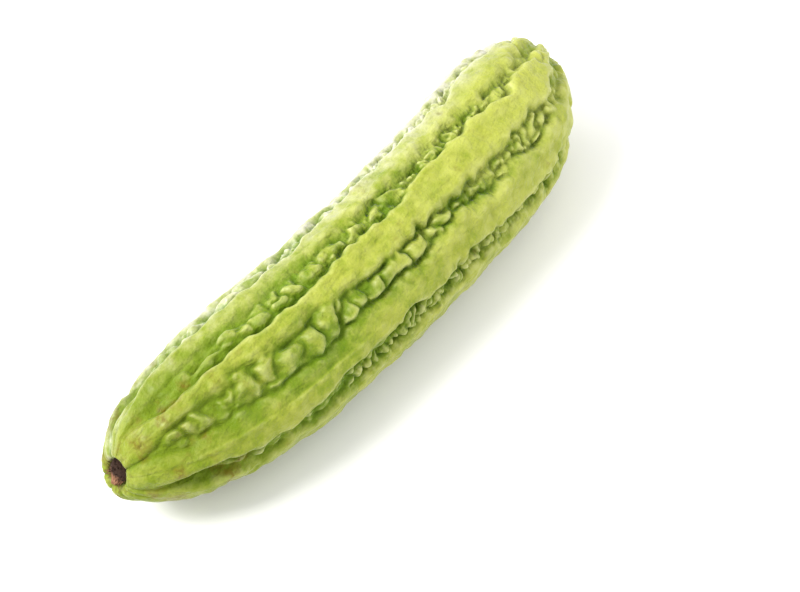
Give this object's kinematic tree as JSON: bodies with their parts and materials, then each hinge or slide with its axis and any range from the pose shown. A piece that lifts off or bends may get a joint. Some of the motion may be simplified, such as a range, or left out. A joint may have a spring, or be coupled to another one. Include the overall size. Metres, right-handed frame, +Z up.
{
  "type": "bitter melon",
  "caption": "Pale green bitter melon lying on its side, a gently bent fruit with broad ribs, warty valleys and a dry stalk scar.",
  "frame": {"origin": "centre of the bounding box, at the height of the surface the fruit lies on", "axes": "+X along the fruit from the stalk scar to the blossom end, +Z up, and the inner side of the bend faces +Y"},
  "size_m": [0.2549, 0.0655, 0.0588],
  "materials": {
    "green_skin": "soft satin, waxy",
    "dry_stalk": "matt, fibrous"
  },
  "bodies": {
    "root": {"fruit": "green_skin", "stalk_scar": "dry_stalk"}
  },
  "joints": []
}
